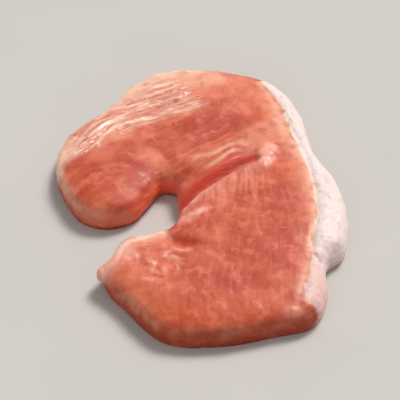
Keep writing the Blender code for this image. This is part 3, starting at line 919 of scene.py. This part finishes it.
def lean_skin(r, colours, patterns):
    """Muscle: cloudy lean with its patches, streaks, mottle, threads, veins and cut walls."""
    clouds, blotches, streaks = patterns["clouds"], patterns["blotches"], patterns["streaks"]
    skin = r.mix(r.between(clouds, 0.38, 0.62), colours.lean_dark, colours.lean)
    for mask, tint, strength in (
        ("warm", colours.warm, 0.8),
        ("rosy", colours.rosy, 0.8),
        ("deep_red_and_shade", colours.deep_red_and_shade, 0.85),
        ("peach", colours.peach, 0.9),
        ("light_bar", colours.lean_light, 0.4),
        ("dark_bar", colours.dull, 0.35),
        # Painted highlight on the fold crests and painted shade in their furrows.
        ("lit_fold", colours.pink, 0.75),
        ("shaded_fold", colours.lean_dark, 0.8),
    ):
        skin = r.cover(skin, mask, r.between(blotches, 0.3, 0.6, 0.6 * strength, strength), tint)
    contrast = r.between(r.attribute("striae"), 0.0, 1.0, 0.22, 0.6)
    skin = r.mix(r.maths("MULTIPLY", r.between(streaks, 0.5, 0.66), contrast), skin, colours.lean_light)
    skin = r.mix(r.maths("MULTIPLY", r.between(streaks, 0.48, 0.34), contrast), skin, colours.lean_dark)
    skin = r.fleck(skin, blotches, 0.5, 0.66, 0.45, colours.rosy)
    even = r.between(r.attribute("rosy"), 0.0, 1.0, 1.0, 0.4)
    skin = r.mix(r.maths("MULTIPLY", r.between(blotches, 0.44, 0.3, 0.0, 0.4), even), skin, colours.deep_red_and_shade)
    skin = r.fleck(skin, patterns["grit"], 0.54, 0.7, 0.1, colours.rosy)
    skin = r.fleck(skin, patterns["grit"], 0.46, 0.3, 0.12, colours.lean_dark)
    skin = r.fleck(skin, patterns["threads"], 0.56, 0.74, 0.14, colours.peach)
    veined = r.between(clouds, 0.44, 0.62, 0.0, 0.25)
    skin = r.mix(r.maths("MULTIPLY", patterns["veins"], veined), skin, colours.peach)
    # Painted shade that darkens the side walls.
    skin = r.cover(skin, "wall", r.between(blotches, 0.35, 0.65, 0.9, 0.65), colours.wall)
    skin = r.cover(skin, "film", r.between(blotches, 0.4, 0.6, 0.15, 0.55), colours.film)
    skin = r.cover(skin, "seam", 0.9, colours.seam)
    # Painted light: the bone gap's wall is painted a lighter red.
    return r.cover(skin, "gap", 0.9, colours.gap)


def membrane_skin(r, colours, skin, blotches, back_at):
    """The lean covered by its loose tissue, cream rim, pink knots, pale lip and beads, with painted
    highlights: pale beads and a pink line along the cleft's lip.
    """
    crests = r.noise(r.stretch(back_at, (0.6, 0.09, 0.3)), 1.0, 4.0, 0.62, 0.6)
    crest = r.between(crests, 0.42, 0.6)
    loose = r.mix(crest, colours.tissue, colours.tissue_light)
    holes = r.noise(r.stretch(back_at, (0.65, 0.16, 0.3)), 1.0, 3.0, 0.6)
    loose = r.fleck(loose, holes, 0.42, 0.34, 0.65, colours.lean_dark)
    skin = r.cover(skin, "tissue", 0.88, loose)
    skin = r.cover(skin, "band", r.between(crest, 0.0, 1.0, 0.25, 0.85), colours.cream)
    ragged = r.between(blotches, 0.3, 0.55, 0.55, 1.0)
    for mask, tint in (("cream", colours.cream), ("pink", colours.pink), ("lip", colours.lip)):
        skin = r.cover(skin, mask, ragged, tint)
    # Painted highlight: the beads are tinted pale.
    return r.cover(skin, "bead", 0.3, colours.tissue_light)


def fat_skin(r, colours, back_at):
    """Fat: white in the middle of the rim, warmer at its edges and pink between its lobules."""
    to_edge = r.maths("ABSOLUTE", r.maths("SUBTRACT", r.attribute("across_fat"), 0.5), 0.0)
    fat = r.mix(r.between(to_edge, 0.3, 0.48), colours.fat, colours.fat_edge)
    fat = r.cover(fat, "fat_pink", 0.8, colours.fat_pink)
    lobules = r.noise(r.stretch(back_at, (0.6, 0.28, 0.3)), 1.0, 4.0, 0.6, 0.6)
    fat = r.fleck(fat, lobules, 0.47, 0.34, 0.55, colours.fat_pink)
    return r.fleck(fat, lobules, 0.55, 0.68, 0.5, colours.fat_edge)


def meat_material(colours):
    """Wet raw muscle with its fat, tissue and seams, told apart by the piece's own masks."""
    material = bpy.data.materials.new("raw_turkey")
    material.use_nodes = True
    r = Recipe(material.node_tree)
    shader = material.node_tree.nodes["Principled BSDF"]
    back_at = r.attribute("back_grain", "Vector")
    patterns = meat_patterns(r, back_at)
    skin = lean_skin(r, colours, patterns)
    skin = membrane_skin(r, colours, skin, patterns["blotches"], back_at)
    skin = r.mix(r.attribute("fat"), skin, fat_skin(r, colours, back_at))
    # Painted shade along the creases of the cleft and the nick.
    skin = r.mix(r.attribute("crease_shade"), skin, colours.crease_shade)
    skin = r.mix(r.attribute("vessel"), skin, colours.vessel)

    film = r.group(wet_film_group(), {"Threads": patterns["threads"], "Wetness": r.attribute("wet")})
    bumps = {"Height": film.outputs["Height"], "Strength": 0.5, "Distance": 0.2 * MM}
    normal = r.add("ShaderNodeBump", bumps)
    for name, value in (
        ("Subsurface Weight", 0.2), ("Subsurface Scale", 2.0 * MM), ("Subsurface Radius", (1.0, 0.3, 0.18)),
        ("Specular IOR Level", 0.35), ("IOR", 1.4), ("Coat Roughness", 0.1), ("Coat IOR", 1.36),
    ):
        shader.inputs[name].default_value = value
    for socket, name in (
        (skin, "Base Color"),
        (film.outputs["Roughness"], "Roughness"),
        (film.outputs["Film"], "Coat Weight"),
        (normal, "Normal"),
    ):
        r.tree.links.new(socket, shader.inputs[name])
    return material


def floor_material(tint):
    """Pale matt paper with the faintest mottle."""
    material = bpy.data.materials.new("pale_floor")
    material.use_nodes = True
    r = Recipe(material.node_tree)
    shader = material.node_tree.nodes["Principled BSDF"]
    mottle = r.noise(r.add("ShaderNodeTexCoord", out="Object"), 12.0, 3.0)
    shade = r.mix(r.between(mottle, 0.3, 0.7), tuple(0.97 * v for v in tint), tuple(tint))
    r.tree.links.new(shade, shader.inputs["Base Color"])
    shader.inputs["Roughness"].default_value = 0.75
    return material


# ---------------------------------------------------------------- operators


class CHOP_OT_slice(bpy.types.Operator):
    """Model the whole slice: fine mesh, surface relief, tissue masks and wet meat material"""

    bl_idname = "chop.slice"
    bl_label = "Dress the Slice"
    bl_options = {"REGISTER", "UNDO"}

    def execute(self, context):
        sizes = context.scene.chop_sizes
        piece = copy_of_node(NODE, "raw_turkey_slice")
        apply_modifier(piece, "REMESH", mode="VOXEL", voxel_size=sizes.voxel, use_smooth_shade=True)
        apply_modifier(piece, "SMOOTH", factor=0.5, iterations=10)
        merge_underside(piece)
        mesh = piece.data
        survey = Survey(mesh)
        front, back = grain(survey)
        masks = zones(survey, front[:, 0])
        moved = survey.co + survey.normal * relief(survey, masks, front, back, sizes)[:, None]
        sag = sizes.edge_droop / MM * np.exp(-survey.depth / 2.2) * ramp(survey.co[:, 2], 2.0, 8.0)
        moved[:, 2] -= sag
        moved[:, 2] = np.where(survey.down > 0.9, 0.0, np.maximum(moved[:, 2], 0.0))
        mesh.vertices.foreach_set("co", (moved * MM).ravel())
        mesh.update()
        for name, values in masks.items():
            store(mesh, name, "FLOAT", values)
        store(mesh, "front_grain", "FLOAT_VECTOR", front)
        store(mesh, "back_grain", "FLOAT_VECTOR", back)
        hand_over(piece, meat_material(context.scene.chop_colours), replaces=NODE)
        return {"FINISHED"}


def aim(thing, target):
    """Turns a light so that it faces the target."""
    thing.rotation_euler = (Vector(target) - thing.location).to_track_quat("-Z", "Y").to_euler()


def sun(name, place, strength, spread, tint):
    """A light from a far place, as wide as the given angle."""
    bpy.ops.object.light_add(type="SUN", location=place)
    light = bpy.context.object
    light.name = name
    light.data.energy = strength
    light.data.angle = spread
    light.data.color = tint
    aim(light, (0.0, 0.0, 0.0))


def studio_world(stage):
    """Soft light from above, and paler walls round the horizon."""
    world = bpy.data.worlds.new("studio")
    world.use_nodes = True
    r = Recipe(world.node_tree)
    way = r.add("ShaderNodeTexCoord", out="Generated")
    rise = r.add("ShaderNodeSeparateXYZ", {"Vector": way}, out="Z")
    strength = r.between(rise, 0.05, 0.45, stage.horizon, stage.sky)
    world.node_tree.links.new(strength, world.node_tree.nodes["Background"].inputs["Strength"])
    world.node_tree.nodes["Background"].inputs["Color"].default_value = (1.0, 0.985, 0.965, 1.0)
    return world


class CHOP_OT_stage(bpy.types.Operator):
    """Set the floor, the lights and the camera round the slice"""

    bl_idname = "chop.stage"
    bl_label = "Set the Stage"
    bl_options = {"REGISTER", "UNDO"}

    KEY_PLACE = (0.42, 0.62, 0.85)  # the main light shines from this way, with the glint inside it
    FILL_PLACE = (-0.5, -0.9, 0.8)
    CAMERA_PLACE = (59.3, -945.0, 721.7)  # millimetres from the slice's origin
    CAMERA_TILT = 37.3  # degrees that a camera there looks down on the middle of the table
    TARGET = (0.0, 1.0, 4.0)

    def execute(self, context):
        stage = context.scene.chop_stage
        bpy.ops.object.select_all(action="DESELECT")
        bpy.ops.mesh.primitive_plane_add(size=stage.floor_size, location=(0.0, 0.0, -0.02 * MM))
        floor = bpy.context.object
        floor.name = "pale_floor"
        floor.data.materials.append(floor_material(stage.floor_colour))

        sun("key", self.KEY_PLACE, stage.key_strength, stage.key_spread, (1.0, 0.97, 0.93))
        sun("glint", self.KEY_PLACE, stage.glint_strength, stage.glint_spread, (1.0, 0.98, 0.95))
        sun("fill", self.FILL_PLACE, stage.fill_strength, math.radians(60.0), (0.95, 0.97, 1.0))
        context.scene.world = studio_world(stage)
        context.scene.view_settings.view_transform = "Standard"
        self.place_camera(context, stage)
        return {"FINISHED"}

    def place_camera(self, context, stage):
        place = Vector(self.CAMERA_PLACE) * MM
        target = Vector(self.TARGET) * MM
        bpy.ops.object.camera_add(location=place)
        camera = bpy.context.object
        camera.name = "camera"
        # The camera keeps level with the table and swings to the slice by the shortest turn.
        level = Matrix.Rotation(math.radians(90.0 - self.CAMERA_TILT), 3, "X").to_quaternion()
        forward = level @ Vector((0.0, 0.0, -1.0))
        camera.rotation_mode = "QUATERNION"
        camera.rotation_quaternion = forward.rotation_difference(target - place) @ level
        camera.data.lens = stage.lens
        camera.data.clip_start = 0.05
        camera.data.clip_end = 20.0
        context.scene.camera = camera


class CHOP_PT_panel(bpy.types.Panel):
    """Lists the steps that make the slice and its stage"""

    bl_label = "Raw Turkey Chop"
    bl_idname = "CHOP_PT_panel"
    bl_space_type = "VIEW_3D"
    bl_region_type = "UI"
    bl_category = "Chop"

    def draw(self, context):
        for group in (context.scene.chop_sizes, context.scene.chop_colours, context.scene.chop_stage):
            for name in group.bl_rna.properties.keys():
                if name not in ("rna_type", "name"):
                    self.layout.prop(group, name)
        for operator in OPERATORS:
            self.layout.operator(operator.bl_idname)


OPERATORS = (CHOP_OT_slice, CHOP_OT_stage)
GROUPS = {"chop_sizes": ChopSizes, "chop_colours": ChopColours, "chop_stage": StageSettings}


def register():
    for group in GROUPS.values():
        bpy.utils.register_class(group)
    for name, group in GROUPS.items():
        setattr(bpy.types.Scene, name, bpy.props.PointerProperty(type=group))
    for cls in (*OPERATORS, CHOP_PT_panel):
        bpy.utils.register_class(cls)


def unregister():
    for cls in (CHOP_PT_panel, *reversed(OPERATORS)):
        bpy.utils.unregister_class(cls)
    for name in GROUPS:
        delattr(bpy.types.Scene, name)
    for group in reversed(GROUPS.values()):
        bpy.utils.unregister_class(group)


def main():
    register()
    bpy.ops.chop.slice()
    bpy.ops.chop.stage()


if __name__ == "__main__":
    main()
